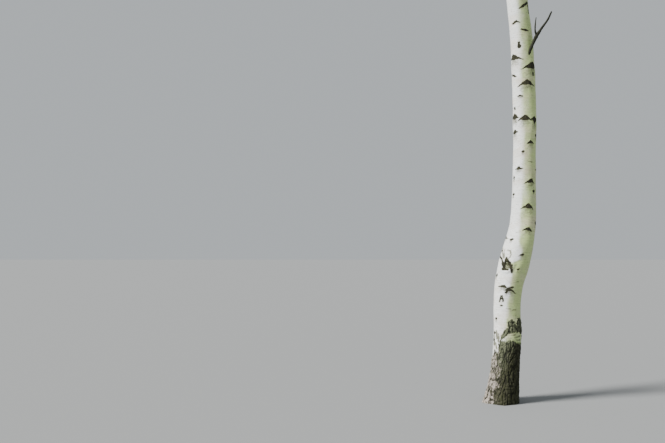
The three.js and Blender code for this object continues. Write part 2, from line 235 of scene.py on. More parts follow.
# Faint grey marks in the same form: folds above the knot, short level strokes, and stains low on the trunk
FAINT_MARKS = (
    (-74, 1146, -60, 1108, 6, 9), (-60, 1108, -46, 1074, 9, 10), (-56, 1140, -46, 1078, 4, 7),
    (-40, 1132, -24, 1124, 5, 8), (-24, 1124, -18, 1096, 8, 7), (-18, 1096, -24, 1060, 7, 6),
    (-50, 530, -44, 480, 8, 13), (-38, 505, -36, 455, 7, 11), (-66, 505, -60, 430, 8, 13),
    (-52, 445, -46, 400, 8, 10), (12, 1796, 40, 1793, 3, 5), (-1, 697, 16, 696, 3, 5),
    (22, 686, 42, 691, 5, 6), (17, 890, 38, 897, 3, 4), (-50, 2128, -42, 2098, 6, 8),
    (8, 503, 34, 508, 2, 7), (30, 484, 66, 494, 4, 9), (-8, 476, 14, 484, 1, 3),
    (40, 468, 72, 464, 4, 8), (-27, 1030, -20, 1004, 3, 7),
)
# The old knot in the bend: height, bearing, half width and half height of its hollow, in metres
KNOT = (1.014, -22, 0.030, 0.032)
# How far its rim stands out, and its hollow goes in
KNOT_RIM, KNOT_HOLLOW = 0.007, 0.010

# Bearings and heights of the rough bark's upper edge, and of the outlines of two patches above that edge
ROUGH_EDGE = (
    (-90, 330), (-72, 345), (-60, 366), (-50, 382), (-40, 372), (-34, 390), (-31, 440), (-27, 456), (9, 466),
    (31, 455), (64, 447), (80, 437), (100, 462), (114, 512), (124, 548), (135, 552), (144, 510), (155, 504),
    (166, 546), (176, 578), (187, 572), (196, 520), (208, 500), (222, 462), (234, 408), (248, 392),
    (260, 345),
)
ROUGH_PATCHES = (
    ((22, 624), (5, 614), (1, 560), (-14, 534), (-25, 500), (-31, 462), (-32, 436), (-27, 440), (-21, 474),
     (-10, 490), (4, 512), (20, 521), (36, 524), (43, 546), (40, 574), (33, 602)),
    ((65, 630), (48, 628), (40, 580), (40, 520), (56, 527), (66, 514), (86, 500), (104, 440), (112, 520),
     (92, 600)),
)
FOOT_RADIUS = 0.1
# How far inside the edge, or inside a patch, the measure of rough bark comes to 1, and where it stops
EDGE_DEPTH, PATCH_DEPTH, ROUGH_LIMIT = 0.035, 0.010, 1.5
# How far the edges of scars and marks fray
FRAY = 0.006
# Width and height of the furrows and of the cross cracks, and how far the plates stand out
FURROW = (0.024, 0.085)
CROSS_CRACK = (0.046, 0.023)
PLATE_DEPTH = 0.0085
# Waves, as how far they go and how long they are: in the places of marks, up and round the bark; in the
# trunk's surface; in plates and furrows; in a bough's girth, as a share of it, and its course; and in the
# dead limb's girth
WAVER_UP, WAVER_ROUND = (0.0045, 0.020), (0.0055, 0.016)
RIPPLE, SWELL = (0.0016, 0.05), (0.006, 0.16)
PLATE_WAVES, FURROW_WAVES = (0.003, 0.011), (0.006, 0.03)
BOUGH_GIRTH, BOUGH_COURSE = (0.07, 0.05), (0.012, 0.16)
SNAG_GIRTH, STUB_GIRTH = (0.16, 0.016), (0.2, 0.014)
# Radius below which bark starts to be young, and how much thinner it is where all of it is
YOUNG_TRUNK, YOUNG_BOUGH = (0.030, 0.018), (0.0175, 0.009)

# Colours that aren't among the settings
LENTICEL = (0.30, 0.26, 0.19)
SPECK = (0.20, 0.18, 0.14)
FURROW_BLACK = (0.008, 0.007, 0.005)
DRY_CORK = (0.030, 0.032, 0.020)
DRY_LICHEN = (0.16, 0.165, 0.115)
SUNLIGHT = (1.0, 0.985, 0.95)
# The sun's size and the way it is turned, and the floor's half size
SUN_ANGLE = 14
SUN_TURN = (48, 0, -68)
FLOOR_HALF = 150.0


def colour(name, description, default):
    """A colour that the user can change."""
    return FloatVectorProperty(
        name=name, description=description, subtype="COLOR", size=3, min=0, max=1, default=default)


def distance(name, description, low, high, default):
    """A length that the user can change, in metres."""
    return FloatProperty(
        name=name, description=description, subtype="DISTANCE", unit="LENGTH",
        min=low, max=high, default=default)


class TrunkSettings(PropertyGroup):
    """Sizes and colours of the bark."""

    white: colour("White Bark", "Papery bark on the side that sees the sun", (0.79, 0.81, 0.80))
    # Cream and khaki are partly the bark's own damp tones and partly painted shade on the side away from the
    # sun; the khaki is lighter and greener, as painted green fill light
    cream_and_shade: colour("Shaded Bark", "Cream of the bark beside the white", (0.445, 0.525, 0.255))
    moss_and_green_light: colour("Damp Bark", "Khaki of the bark that faces away from the sun", (0.58, 0.705, 0.295))
    blush: colour("Blush", "Beige where the outer paper has peeled", (0.66, 0.56, 0.44))
    scar: colour("Scars", "Dark cork of the branch scars", (0.014, 0.0135, 0.0055))
    halo: colour("Scar Surroundings", "Grey-brown bark round the scars", (0.11, 0.11, 0.065))
    plate: colour("Foot", "Rough cork plates at the foot", (0.023, 0.0255, 0.0075))
    # Its share on the plates falls toward the shaded side: real lichen and painted shade
    lichen_and_shade: colour("Lichen", "Green-grey film on the plates above the foot", (0.165, 0.185, 0.110))
    flake: colour("Flakes", "Pale flakes left on the plates", (0.40, 0.35, 0.305))
    young: colour("Young Bark", "Coppery bark of thin limbs and of the leader's end", (0.17, 0.085, 0.050))
    scar_spacing: distance("Scar Spacing", "Height from one ring of branch scars to the next", 0.1, 1, 0.27)
    seed: IntProperty(name="Seed", description="Start of the random draws for the scars", min=0, default=11)


class CrownSettings(PropertyGroup):
    """Sizes and colours of the twigs and leaves."""

    twigs: IntProperty(name="Twigs", description="Side twigs on each limb", min=4, max=60, default=26)
    sprays: IntProperty(
        name="Sprays", description="Fine leafy twigs on each side twig", min=2, max=20, default=9)
    leaves: IntProperty(name="Leaves", description="Leaves on each fine twig", min=2, max=30, default=10)
    twig_length: distance("Twig Length", "Length of the lowest limbs' side twigs", 0.1, 2, 0.74)
    spray_length: distance("Spray Length", "Length of the lowest limbs' fine twigs", 0.05, 1, 0.38)
    blade: distance("Leaf Length", "Length of a leaf's blade", 0.01, 0.2, 0.052)
    lime: colour("Lime Leaves", "The commonest of the leaf colours", (0.270, 0.470, 0.048))
    yellow: colour("Yellow Leaves", "Leaves that have just opened", (0.40, 0.52, 0.068))
    green: colour("Green Leaves", "Full-grown leaves", (0.150, 0.335, 0.040))
    dark: colour("Dark Leaves", "Leaves deep in the crown", (0.082, 0.210, 0.034))
    twig: colour("Twigs", "Dark red-brown twigs", (0.085, 0.045, 0.034))
    shoot: colour("Shoots", "Green-brown fine twigs", (0.150, 0.120, 0.050))
    seed: IntProperty(name="Seed", description="Start of the random draws for the crown", min=0, default=5)


class StageSettings(PropertyGroup):
    """Floor, lights and camera."""

    floor: colour("Floor", "Colour of the floor", (0.232, 0.238, 0.242))
    sky: colour("Background", "Colour of the light from all round", (0.50, 0.53, 0.55))
    sun: FloatProperty(name="Sun", description="Strength of the main light", min=0, max=20, default=8.5)
    lens: FloatProperty(
        name="Lens", description="Focal length of the camera",
        subtype="DISTANCE_CAMERA", unit="CAMERA", min=10, max=200, default=38)
    eye: FloatVectorProperty(
        name="Camera", description="Place of the camera",
        subtype="TRANSLATION", unit="LENGTH", size=3, default=(-1.258, -5.283, 1.096))
    tilt: FloatProperty(
        name="Tilt", description="How far the camera looks up",
        subtype="ANGLE", unit="ROTATION", default=math.radians(2.7))


# Shapes shared by the pieces

def curve(values, slopes, k, span, t):
    """Points of a smooth curve through values, at shares t of the span from the k-th to the next."""
    return (values[k] * (2 * t**3 - 3 * t**2 + 1) + slopes[k] * span * (t**3 - 2 * t**2 + t)
            + values[k + 1] * (3 * t**2 - 2 * t**3) + slopes[k + 1] * span * (t**3 - t**2))


def smooth_path(points, count):
    """Points in metres, evenly along a smooth curve through given ones in millimetres."""
    points = np.array(points) / 1000
    at = np.linspace(0, len(points) - 1, count)
    k = np.clip(at.astype(int), 0, len(points) - 2)
    return curve(points, np.gradient(points, axis=0), k, 1, (at - k)[:, None])


def trunk_at(z):
    """Centre and radius of the trunk at heights, on a smooth curve through its stations."""
    heights, *columns = np.array(TRUNK).T / 1000
    z = np.clip(z, heights[0], heights[-1])
    k = np.clip(np.searchsorted(heights, z, side="right") - 1, 0, len(heights) - 2)
    span = heights[k + 1] - heights[k]
    t = (z - heights[k]) / span
    return [curve(column, np.gradient(column) / np.gradient(heights), k, span, t) for column in columns]


def degrees_apart(a, b):
    """How far a is past b, from -180 to 180."""
    return (np.asarray(a) - b + 540) % 360 - 180


def arc_past(way, turn, radius):
    """Distance round the bark from a way to turns."""
    return radius * np.radians(degrees_apart(turn, way))


def flare_at(z, turn):
    """How far the roots push the foot of the trunk out."""
    fade = np.maximum(0, 1 - z / FLARE_HEIGHT) ** 2
    return fade * sum(
        reach / 1000 * np.exp(-((degrees_apart(turn, way) / FLARE_SPREAD) ** 2)) for way, reach in ROOTS)


def crown_radius(z):
    """Reach of the crown at heights. It is widest at s = 0.3, where the two powers come to 0.4."""
    s = np.clip((np.asarray(z) - CROWN_FOOT) / (CROWN_TOP - CROWN_FOOT), 0, 1)
    return CROWN_RADIUS * s**0.45 * (1 - s) ** 1.05 / 0.4


def limb_plan(i):
    """Everything that sets one limb, as in the part's solids."""
    share = i / (BOUGHS - 1)
    foot = LOWEST_BOUGH + (HIGHEST_BOUGH - LOWEST_BOUGH) * share**CROWDING
    rise = (0.76 - 0.12 * share) * (1 + 0.12 * math.sin(5.1 * i))
    x, y, r = (float(v) for v in trunk_at(foot))
    return {
        "foot": foot,
        "centre": (x, y),
        "trunk": r,
        "turn": math.radians(SPIRAL * i + SPIRAL_WOBBLE * math.sin(3.7 * i)),
        "rise": rise,
        "reach": float(crown_radius(foot + rise)) * (0.86 + 0.06 * math.sin(2.3 * i)),
        "arch": 2.15 - 0.8 * share,
        "sway": 0.07 * math.sin(4.3 * i + 1),
        "radius": max(BOUGH_TO_TRUNK * r, THINNEST_BOUGH),
    }


def limb_points(plan, u):
    """Points of a limb's path: u is 0 on the leader's axis and 1 at the limb's far end."""
    out = plan["reach"] * u
    aside = plan["reach"] * plan["sway"] * np.sin(np.pi * u)
    c, s = math.cos(plan["turn"]), math.sin(plan["turn"])
    arch = plan["arch"]
    return np.stack((
        plan["centre"][0] + out * c - aside * s,
        plan["centre"][1] + out * s + aside * c,
        plan["foot"] + plan["rise"] * (arch * u - (arch - 1) * u * u)), axis=-1)


def unit(v):
    return v / np.maximum(np.linalg.norm(v, axis=-1, keepdims=True), 1e-9)


def nearest(points, path):
    """Distance from points to the nearest point of a path."""
    return np.min(np.linalg.norm(points[..., None, :] - path, axis=-1), axis=-1)


def side_of(way):
    """A unit way square to each way: level, except beside an upright one."""
    steep = np.abs(way[..., 2:]) > 0.97
    other = np.where(steep, np.array((1.0, 0.0, 0.0)), np.array((0.0, 0.0, 1.0)))
    return unit(np.cross(other, way))


def noise_at(x, y, z):
    return np.array([noise.noise(spot) for spot in zip(x, y, z)])


def waves(far, size, x, y, z):
    """Slow noise with waves of a size, which goes this far to either side of 0."""
    return far * noise_at(x / size, y / size, z / size)


def tube_faces(count, rings, sides):
    """Quads round tubes whose corners go ring by ring, and a face over each of their ends."""
    index = np.arange(count * rings * sides).reshape(count, rings, sides)
    after = np.roll(index, -1, axis=2)
    quads = np.stack((index[:, :-1], after[:, :-1], after[:, 1:], index[:, 1:]), axis=-1).reshape(-1, 4)
    return [*quads.tolist(), *index[:, 0, ::-1].tolist(), *index[:, -1].tolist()]


def tubes(paths, radii, sides):
    """Corners and faces of closed tubes along paths (tube, point, 3), with radii (tube, point)."""
    count, rings = paths.shape[:2]
    way = unit(np.gradient(paths, axis=1))
    side = np.empty_like(way)
    side[:, 0] = side_of(way[:, 0])
    for k in range(1, rings):
        carried = side[:, k - 1] - way[:, k] * np.sum(side[:, k - 1] * way[:, k], axis=-1, keepdims=True)
        side[:, k] = unit(carried)
    across = np.cross(way, side)
    turn = 2 * np.pi * np.arange(sides) / sides
    ring = np.cos(turn)[:, None] * side[:, :, None, :] + np.sin(turn)[:, None] * across[:, :, None, :]
    corners = paths[:, :, None, :] + radii[:, :, None, None] * ring
    return corners.reshape(-1, 3), tube_faces(count, rings, sides)


def joined(*parts):
    """Several meshes, each given as corners and faces, as one."""
    faces, start = [], 0
    for corners, own in parts:
        faces += [[v + start for v in face] for face in own]
        start += len(corners)
    return np.vstack([corners for corners, _ in parts]), faces


def placed(name, data):
    """A new object in the scene."""
    made = bpy.data.objects.new(name, data)
    bpy.context.collection.objects.link(made)
    return made


def mesh_piece(name, corners, faces, materials, smooth=True):
    """A new piece at the origin from corners and lists of faces."""
    mesh = bpy.data.meshes.new(name)
    mesh.from_pydata(corners.tolist(), [], faces)
    for material in materials:
        mesh.materials.append(material)
    if smooth:
        mesh.shade_smooth()
    piece = placed(name, mesh)
    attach(piece, "root")
    return piece


def set_fields(piece, **fields):
    """Stores a number for each corner under each name, for the bark to read."""
    for name, values in fields.items():
        field = piece.data.attributes.new(name, "FLOAT", "POINT")
        field.data.foreach_set("value", np.full(len(field.data), values, dtype=np.float32))


# Shader parts

class Channel:
    """A number, place or colour that varies over a surface. Numbers add and multiply by their signs."""

    def __init__(self, tree, socket):
        self.tree = tree
        self.socket = socket

    def __add__(self, other):
        return calc("ADD", self, other)

    def __sub__(self, other):
        return calc("SUBTRACT", self, other)

    def __rsub__(self, other):
        return calc("SUBTRACT", other, self)

    def __mul__(self, other):
        return calc("MULTIPLY", self, other)

    def ramp(self, low, high, to_low=0.0, to_high=1.0):
        """The number brought from one range to another, and kept in it."""
        return node("ShaderNodeMapRange", {0: self, 1: low, 2: high, 3: to_low, 4: to_high})


def feed(inputs, values):
    """Gives a node's inputs, by name or number, their links and constants."""
    for name, value in values.items():
        if isinstance(value, Channel):
            value.tree.links.new(value.socket, inputs[name])
        elif inputs[name].type == "RGBA":
            inputs[name].default_value = (*value, 1.0)
        else:
            inputs[name].default_value = value


def node(kind, values, output=0, tree=None, **settings):
    """What comes out of a new node, in the tree that its inputs come from unless one is given."""
    tree = tree or next(value.tree for value in values.values() if isinstance(value, Channel))
    made = tree.nodes.new(kind)
    for name, value in settings.items():
        setattr(made, name, value)
    feed(made.inputs, values)
    return Channel(tree, made.outputs[output])


def calc(operation, a, b):
    return node("ShaderNodeMath", {0: a, 1: b}, operation=operation)


def multiplied(a, b):
    """The three numbers of a place or colour, each times its own one of another three."""
    return node("ShaderNodeVectorMath", {0: a, 1: b}, operation="MULTIPLY")


def blend(share, a, b):
    """Two colours mixed by a share from 0 to 1."""
    return node("ShaderNodeMix", {0: share, 6: a, 7: b}, 2, data_type="RGBA")


def grain(place, scale, detail=2.0, roughness=0.5, squeeze=None):
    """Noise from 0 to 1 with features of about 1/scale metres, squeezed in height by a factor."""
    if squeeze:
        place = multiplied(place, (1.0, 1.0, squeeze))
    return node("ShaderNodeTexNoise", {
        "Vector": place, "Scale": scale, "Detail": detail, "Roughness": roughness})


def bump(height, depth, strength):
    return node("ShaderNodeBump", {"Height": height, "Distance": depth, "Strength": strength})


def new_group(name, inputs, outputs):
    """A node group with named sockets, what comes into it, and the sockets that take what it puts out."""
    group = bpy.data.node_groups.new(name, "ShaderNodeTree")
    for way, sockets in (("INPUT", inputs), ("OUTPUT", outputs)):
        for socket, kind, *default in sockets:
            made = group.interface.new_socket(socket, in_out=way, socket_type="NodeSocket" + kind)
            if default:
                made.default_value = default[0]
    given = {socket.name: Channel(group, socket) for socket in group.nodes.new("NodeGroupInput").outputs}
    return group, given, group.nodes.new("NodeGroupOutput").inputs


def lenticels(name):
    """Short level dashes in bark, in bands where they are common and bands where they are rare."""
    group, given, result = new_group(
        name,
        (("Place", "Vector"), ("Length", "Float", 26.0), ("Flatness", "Float", 9.0), ("Cover", "Float", 0.5)),
        (("Mask", "Float"),))
    flat = node("ShaderNodeCombineXYZ", {0: 1.0, 1: 1.0, 2: given["Flatness"]})
    dashes = grain(multiplied(given["Place"], flat), given["Length"], 1.5, 0.6)
    bands = grain(multiplied(given["Place"], (0.6, 0.6, 5.0)), 3.0)
    limit = 0.78 - given["Cover"] * (bands * 0.42)
    feed(result, {"Mask": (dashes - limit).ramp(0.0, 0.05)})
    return group


def weathering(name):
    """Slow changes of tone, with fine level streaks and a stain in patches."""
    group, given, result = new_group(
        name,
        (("Place", "Vector"), ("Color", "Color"), ("Stain", "Color"), ("Amount", "Float", 0.5),
         ("Patch Scale", "Float", 6.0)),
        (("Color", "Color"),))
    patches = grain(given["Place"], given["Patch Scale"], 4.0, 0.6, 1.7)
    stained = blend(patches.ramp(0.46, 0.68) * given["Amount"], given["Color"], given["Stain"])
    tone = grain(given["Place"], 9.0, 4.0, 0.62, 16.0).ramp(0.3, 0.72, 0.84, 1.06)
    even = node("ShaderNodeCombineXYZ", {0: tone, 1: tone, 2: tone})
    feed(result, {"Color": multiplied(stained, even)})
    return group


def cork(name):
    """Dark rough cork: black furrows, plates of uneven tone, and pale flakes left on them."""
    group, given, result = new_group(
        name,
        (("Place", "Vector"), ("Cracks", "Float", 1.0), ("Plate", "Color"), ("Flake", "Color"),
         ("Flakes", "Float", 0.3)),
        (("Color", "Color"), ("Height", "Float")))
    place, plate, pale, flakes = (given[socket] for socket in ("Place", "Plate", "Flake", "Flakes"))
    coarse = grain(place, 80.0, 4.0, 0.7, 0.5)
    fine = grain(place, 170.0, 3.0, 0.65, 1.5)
    scaly = grain(place, 62.0, 6.0, 0.68, 0.6)
    whole = (given["Cracks"] + (fine - 0.5) * 1.3).ramp(0.18, 0.75)
    flake = (scaly - (0.70 - flakes * 0.25)).ramp(-0.01, 0.05) * whole
    dusty = blend(flakes * 0.30 + 0.10, plate, pale)
    toned = blend(coarse.ramp(0.42, 0.75), plate, dusty)
    furrowed = blend(whole, blend(0.8, plate, FURROW_BLACK), toned)
    worn = blend(fine.ramp(0.35, 0.6), blend(0.5, plate, pale), pale)
    feed(result, {
        "Color": blend(flake, furrowed, worn),
        "Height": coarse * 0.6 + fine * 0.5 + flake * 0.3})
    return group


GROUPS = {"Lenticels": lenticels, "Weathering": weathering, "Cork": cork}


def use(name, values):
    """What a group puts out, by name. The group is built the first time."""
    tree = values["Place"].tree
    made = tree.nodes.new("ShaderNodeGroup")
    made.node_tree = bpy.data.node_groups.get(name) or GROUPS[name](name)
    feed(made.inputs, values)
    return {socket.name: Channel(tree, socket) for socket in made.outputs}


def shader(name, **constants):
    """A new material and its shader's inputs, with constants set on them."""
    material = bpy.data.materials.new(name)
    material.use_nodes = True
    inputs = material.node_tree.nodes["Principled BSDF"].inputs
    feed(inputs, {socket.replace("_", " "): value for socket, value in constants.items()})
    return material, inputs


def plain(name, base, roughness, specular):
    """A material of one colour."""
    return shader(name, Base_Color=base, Roughness=roughness, Specular_IOR_Level=specular)[0]


def bark_material(name, look):
    """White birch bark that turns to cork at the foot and to copper on thin limbs."""
    material, inputs = shader(name, Specular_IOR_Level=0.35)
    tree = material.node_tree
    place = node("ShaderNodeTexCoord", {}, "Object", tree)
    scars, grey, roughness, cracks, damp, young = (
        node("ShaderNodeAttribute", {}, "Fac", tree, attribute_name=field)
        for field in ("scar", "grey", "rough", "cracks", "damp", "young"))

    # Paper, from white to cream and moss on the damp side, with stains, dashes and specks. The cream and moss
    # are partly the bark's own damp tones and partly painted shade away from the sun; the moss is lighter and
    # greener, as painted green fill light on that side
    waver = grain(place, 9.0, 5.0, 0.6, 0.5) - 0.5
    washed = grain(place, 13.0, 4.0, 0.6, 0.6).ramp(0.32, 0.54, 0.70, 1.0)
    paper = blend((damp + waver * 0.9).ramp(0.05, 0.95) * washed, look.white, look.cream_and_shade)
    # Lighter, greener moss past the cream: painted green fill light on the shaded side
    paper = blend((damp + waver).ramp(1.2, 2.4) * washed, paper, look.moss_and_green_light)
    paper = use("Weathering", {
        "Place": place, "Color": paper, "Stain": look.blush, "Amount": 0.55, "Patch Scale": 5.5})["Color"]
    dashes = use("Lenticels", {"Place": place, "Length": 30.0, "Flatness": 8.0, "Cover": 0.62})["Mask"]
    paper = blend(dashes * 0.55, paper, LENTICEL)
    paper = blend(grain(place, 120.0).ramp(0.66, 0.74) * 0.6, paper, SPECK)

    # Scars, with grey round them and splits in their cork
    ragged = grain(place, 75.0, 6.0, 0.72, 1.4) - 0.5
    frayed = scars + ragged * 2.6
    scar = frayed.ramp(-0.10, 0.16)
    split = grain(place, 150.0, 3.0, 0.6, 0.30).ramp(0.46, 0.66)
    paper = blend((grey + ragged * 1.6).ramp(0.25, 1.1, 0.0, 0.95), paper, look.halo)
    paper = blend(frayed.ramp(-1.0, 0.1) * 0.6, paper, look.halo)
    paper = blend(scar, paper, blend(split, look.scar, [3.2 * v for v in look.scar]))

    # Cork at the foot, with lichen higher up and flakes on its sunny side, and copper on young bark. The
    # flakes and paler plates on the sun's side are partly painted sunlight, and the lichen's fall toward the
    # shaded side is painted shade
    edge = grain(place, 55.0, 5.0, 0.68, 0.45) - 0.5
    rough = (roughness + edge * 2.4).ramp(-0.06, 0.16)
    # More flakes and paler plates where the sun falls: real flakes and painted sunlight
    flakes_and_sunlight = (damp + (waver * 2.4 + edge * 1.6)).ramp(-1.05, 0.25, 1.0, 0.0)
    height_up = node("ShaderNodeSeparateXYZ", {0: place}, "Z")
    # Lichen's share falls toward the shaded side: real lichen and painted shade
    lichen_and_shade = (height_up + edge * 0.3 - damp * 0.08).ramp(0.17, 0.38) * damp.ramp(-1.0, 0.3, 0.14, 0.55)
    foot = use("Cork", {
        "Place": place, "Cracks": cracks, "Plate": blend(lichen_and_shade, look.plate, look.lichen_and_shade),
        "Flake": look.flake, "Flakes": flakes_and_sunlight})
    bark = blend(rough, paper, foot["Color"])
    bark = blend((young + edge * 0.9).ramp(0.25, 0.75), bark, look.young)

    level = grain(place, 14.0, 4.0, 0.6, 12.0)
    height = level * 0.3 + scar * (split * 0.7 + 0.2) - dashes * 0.3 + foot["Height"] * (rough * 1.6)
    feed(inputs, {
        "Base Color": bark,
        "Roughness": calc("MAXIMUM", rough, scar).ramp(0.0, 1.0, 0.58, 0.92),
        "Normal": bump(height, 0.004, 0.8)})
    return material


def dead_wood_material(name, look):
    """Dry bark of the dead limb, cracked and greyed, with pale lichen."""
    material, inputs = shader(name, Roughness=0.92, Specular_IOR_Level=0.2)
    place = node("ShaderNodeTexCoord", {}, "Object", material.node_tree)
    dry = use("Cork", {
        "Place": place, "Cracks": 0.55, "Plate": DRY_CORK, "Flake": DRY_LICHEN, "Flakes": 0.35})
    tone = use("Weathering", {
        "Place": place, "Color": dry["Color"], "Stain": look.scar, "Amount": 0.7, "Patch Scale": 40.0})
    feed(inputs, {"Base Color": tone["Color"], "Normal": bump(dry["Height"], 0.003, 0.9)})
    return material


def shared(name, build, look):
    """A material that several pieces wear, built the first time."""
    return bpy.data.materials.get(name) or build(name, look)


# Trunk

def all_scars(look):
    """The scars that the photograph shows, and others by a seeded rule on the rest of the trunk."""
    draw = np.random.default_rng(look.seed)
    scars = [
        (peak / 1000, (FRONT + bearing) % 360, *(v / 1000 for v in rest)) for peak, bearing, *rest in SCARS]
    z = LOWEST_RING
    while z < TRUNK_TOP - 1.0:
        hidden_from = SEEN_SIDE if z < SEEN_TOP else 0
        shrink = float(trunk_at(z)[2]) / STEM_RADIUS
        ring = draw.integers(2, 5)
        start = draw.uniform(0, 360)
        for k in range(ring):
            turn = start + 360 * (k + draw.uniform(-0.2, 0.2)) / ring
            size = shrink * draw.uniform(*SCAR_SIZES)
            height = z + draw.uniform(-0.05, 0.05)
            if abs(degrees_apart(turn, FRONT)) >= hidden_from:
                wings = size * draw.uniform(*SCAR_WINGS, 2)
                drops = wings * draw.uniform(*SCAR_DROPS, 2)
                scars.append((height, turn % 360, *wings, *drops, size * draw.uniform(*SCAR_HALVES)))
        for _ in range(draw.integers(2, 5)):
            turn = draw.uniform(0, 360)
            if abs(degrees_apart(turn, FRONT)) >= hidden_from:
                size = shrink * draw.uniform(*SMALL_SCARS)
                height = z + draw.uniform(0.03, 0.3)
                scars.append((height, turn, size * 1.4, size * 1.4, 0.0, 0.003, size * 0.7))
        z += look.scar_spacing * draw.uniform(0.75, 1.25)
    # One scar over each bough, twice as wide as its collar
    for plan in map(limb_plan, range(BOUGHS)):
        thick = plan["radius"]
        ridge = limb_points(plan, plan["trunk"] / plan["reach"])[2] + 2.2 * thick + 0.010
        wing, drop = 3.4 * thick, 3.2 * thick
        scars.append((ridge, math.degrees(plan["turn"]) % 360, wing, wing, drop, drop, 0.65 * thick))
    return scars


def scar_fields(z, turn, radius, scars):
    """How deep each corner lies in a scar, from -1 outside to 1 well inside, how grey its surroundings
    are, and how far it bulges."""
    field = np.full(len(z), -1.0)
    grey = np.zeros(len(z))
    bulge = np.zeros(len(z))
    for peak, way, left, right, left_drop, right_drop, thickness in scars:
        near = np.nonzero(np.abs(z - peak) < 0.2)[0]
        arc = arc_past(way, turn[near], radius[near])
        close = np.abs(arc) < 1.6 * max(left, right) + 0.03
        near, arc = near[close], arc[close]
        # s goes from 0 at the peak to 1 at either wing's end, and the arch gets thinner on the way
        s = np.abs(np.where(arc < 0, arc / left, arc / right))
        top = peak - np.maximum(np.where(arc < 0, left_drop, right_drop), 0.75 * thickness) * s**1.25
        middle = np.exp(-((s / 0.42) ** 2))
        half = (thickness * middle + (0.22 * thickness + 0.003) * (1 - middle)) * np.clip(1 - s**4, 0, 1)
        depth = (half - np.abs(z[near] - top + half)) / FRAY - 12 * np.maximum(s - 1, 0)
        field[near] = np.maximum(field[near], depth)
        under = (z[near] - top + 2.0 * thickness) / (1.7 * thickness + 0.006)
        grey[near] = np.maximum(grey[near], np.clip(1.15 - s, 0, 1) * np.exp(-(under**2)))
        spread = (arc / (0.9 * max(left, right) + 0.01)) ** 2 + (under / 1.3) ** 2
        bulge[near] += 0.20 * thickness * np.exp(-spread)
    return np.clip(field, -1, 1), grey, bulge


def mark_field(z, turn, radius, marks):
    """How deep each corner lies in one of the straight marks."""
    field = np.full(len(z), -1.0)
    for bearing_a, z_a, bearing_b, z_b, half_a, half_b in np.array(marks) / (1, 1000, 1, 1000, 1000, 1000):
        near = np.nonzero((z > min(z_a, z_b) - 0.05) & (z < max(z_a, z_b) + 0.05))[0]
        arc = arc_past(FRONT + bearing_a, turn[near], radius[near])
        span = radius[near] * math.radians(bearing_b - bearing_a)
        rise = z_b - z_a
        along = np.clip((arc * span + (z[near] - z_a) * rise) / (span**2 + rise**2 + 1e-9), 0, 1)
        away = np.hypot(arc - along * span, z[near] - z_a - along * rise)
        field[near] = np.maximum(field[near], (half_a + (half_b - half_a) * along - away) / FRAY)
    return np.clip(field, -1, 1)


def inside_outline(across, up, outline):
    """Distance inside a closed outline, below 0 outside it."""
    points = np.stack((across, up), axis=-1)
    away = np.full(len(points), np.inf)
    odd = np.zeros(len(points), dtype=bool)
    for a, b in zip(outline, np.roll(outline, -1, axis=0)):
        way = b - a
        along = np.clip(((points - a) @ way) / (way @ way), 0, 1)
        away = np.minimum(away, np.linalg.norm(points - a - along[:, None] * way, axis=-1))
        if way[1]:
            crosses = (a[1] > up) != (b[1] > up)
            odd ^= crosses & (across < a[0] + (up - a[1]) * way[0] / way[1])
    return np.where(odd, away, -away)


def rough_field(z, turn):
    """Above 0 where the bark is rough: below the rough edge, and inside the patches above it."""
    bearing = degrees_apart(turn, FRONT)
    ways, heights = np.array(ROUGH_EDGE).T
    field = (np.interp(bearing, ways, heights / 1000, period=360) - z) / EDGE_DEPTH
    arc = FOOT_RADIUS * np.radians(bearing)
    for patch in ROUGH_PATCHES:
        outline = np.array([(FOOT_RADIUS * math.radians(way), height / 1000) for way, height in patch])
        field = np.maximum(field, inside_outline(arc, z, outline) / PATCH_DEPTH)
    return np.clip(field, -ROUGH_LIMIT, ROUGH_LIMIT)


def damp_field(x, y, z, turn, beside_rough):
    """Damp bark and painted shade away from the sun, in one field: 0.5 along the damp side's edges, above it
    on that side, and more beside the rough bark there.
    """
    heights, edges, widths = np.array(DAMP_AND_SHADE_EDGE).T
    edge = np.interp(z, heights / 1000, edges)
    half = (DAMP_AND_SHADE_FAR - edge) / 2
    past_middle = degrees_apart(turn, FRONT + edge + half)
    # far is 0 beside the near edge and 1 beside the far one, which is more uneven
    far = np.clip((past_middle + 40) / 60, 0, 1)
    inside = half - np.abs(past_middle) + waves(9 + 12 * far, 0.045, x, y, z * 0.5)
    spread = np.interp(z, heights / 1000, widths) * (1 - far) + FAR_SPREAD * far
    more_moss_and_shade = beside_rough * np.clip(0.35 + inside / 40, 0, 1)
    return np.clip(0.5 + inside / (2 * spread) + 0.8 * more_moss_and_shade, -2, 4)


def knot_fields(z, turn, radius):
    """How grey the old knot is, and how far each corner is pushed out by its rim or in by its hollow."""
    middle, bearing, wide, high = KNOT
    arc = arc_past(FRONT + bearing, turn, radius)
    away = np.hypot(arc / wide, (z - middle) / high)
    push = KNOT_RIM * np.exp(-(((away - 1.35) / 0.5) ** 2)) - KNOT_HOLLOW * np.exp(-((away / 0.8) ** 2))
    return np.exp(-(away**4)), push


def crack_field(x, y, z):
    """0 in the furrows between the foot's plates and 1 on the plates."""
    bend = waves(*FURROW_WAVES, x, y, z)
    furrow = noise_at((x + bend) / FURROW[0], (y - bend) / FURROW[0], z / FURROW[1])
    cross = noise_at(x / CROSS_CRACK[0], y / CROSS_CRACK[0], (z + 2 * bend) / CROSS_CRACK[1] + 7)
    return np.clip(np.minimum(np.abs(furrow) / 0.20, 0.25 + np.abs(cross) / 0.14), 0, 1)


